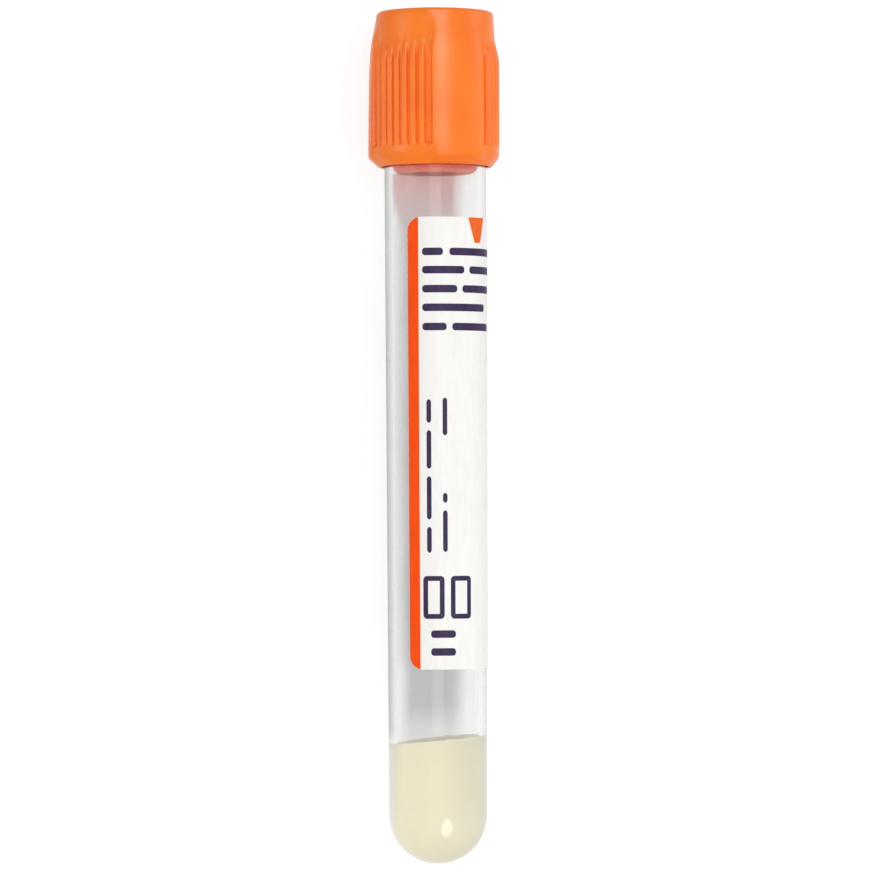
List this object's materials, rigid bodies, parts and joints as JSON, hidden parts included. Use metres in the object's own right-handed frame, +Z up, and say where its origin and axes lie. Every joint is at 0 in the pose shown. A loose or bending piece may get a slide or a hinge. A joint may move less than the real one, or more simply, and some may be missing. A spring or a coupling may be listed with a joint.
{
  "type": "blood collection tube",
  "caption": "Clear round-bottomed plastic tube, closed by a rubber stopper under a ribbed orange shield, with a cream gel plug in its bottom and a white label around its wall.",
  "frame": {"origin": "on the surface that the lying tube rests on, below the middle of its length and width", "axes": "+Y along the tube's length towards the closure, +Z up, +X to the right seen from above; the tube's axis rises 1.331 degrees towards the closure, and the printed front of the label faces up, turned 7.5 degrees from +Z towards -X, so that the shield rests on its plain band between two panels"},
  "size_m": [0.0168, 0.1086, 0.0168],
  "materials": {
    "shield": "satin moulded orange plastic",
    "stopper": "matte brick-red rubber",
    "tube": "clear glossy plastic with a faint grey haze",
    "gel": "smooth translucent cream gel",
    "label": "smooth white label film"
  },
  "bodies": {
    "tube_body": {"tube": "tube", "gel_plug": "gel", "label": "label"},
    "closure": {"shield": "shield", "stopper": "stopper"}
  },
  "joints": [
    {"name": "closure_pull", "type": "slide", "parent": "tube_body", "child": "closure", "axis": [0, 0.9997, 0.0232], "range_m": [0, 0.03]}
  ]
}
